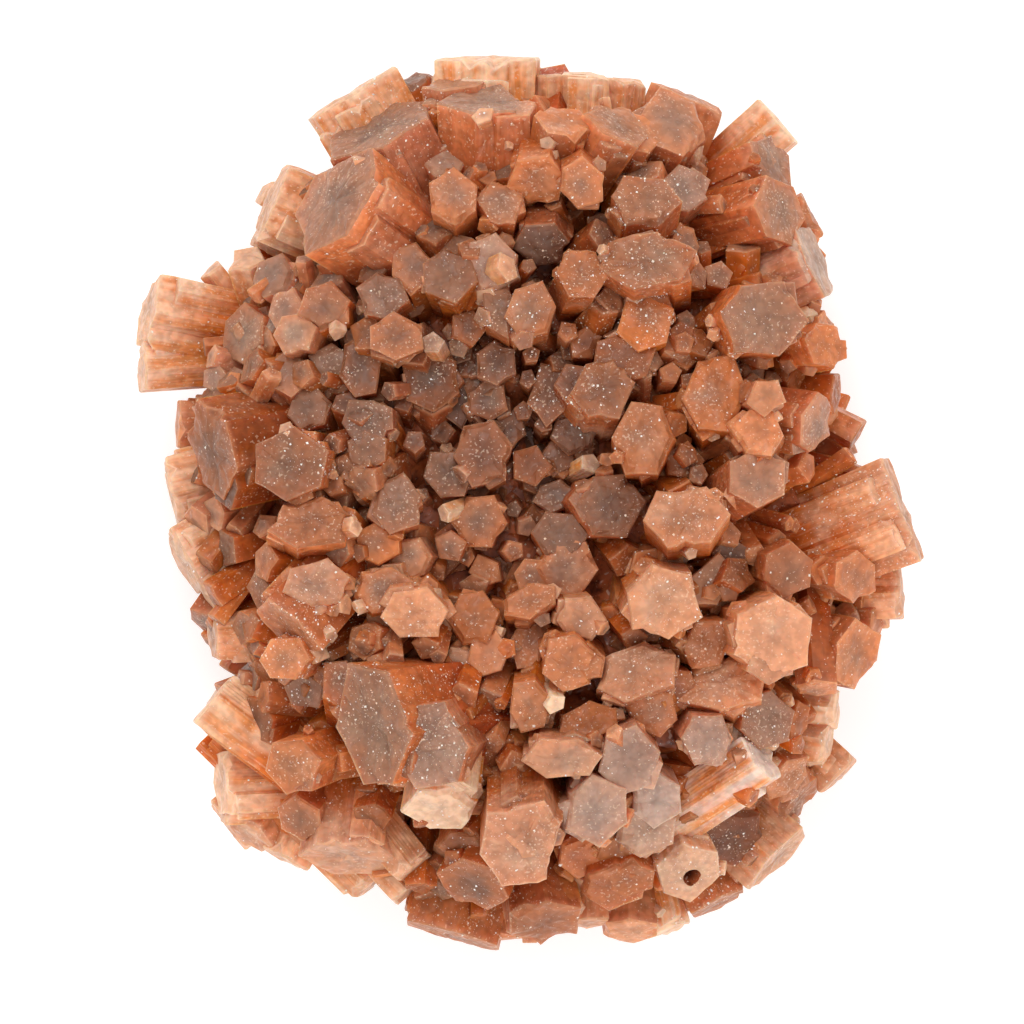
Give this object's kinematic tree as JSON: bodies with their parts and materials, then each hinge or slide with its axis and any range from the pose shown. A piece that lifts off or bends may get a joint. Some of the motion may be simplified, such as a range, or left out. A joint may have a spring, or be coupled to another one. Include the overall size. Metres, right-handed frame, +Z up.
{
  "type": "aragonite cluster",
  "caption": "Natural cluster of stubby six-sided aragonite crystals radiating from one lump, cut flat below to stand on a shelf.",
  "frame": {"origin": "on the flat base, under the middle of the cluster; the base lies in the plane z = 0", "axes": "+Z up from the base through the crystal-covered dome, +Y along the cluster's long side, +X along its short side"},
  "size_m": [0.0634, 0.0717, 0.0386],
  "materials": {
    "aragonite": "frosted translucent crystal, pale at the tips and orange to red-brown at the roots"
  },
  "bodies": {
    "root": {"aragonite_cluster": "aragonite"}
  },
  "joints": []
}
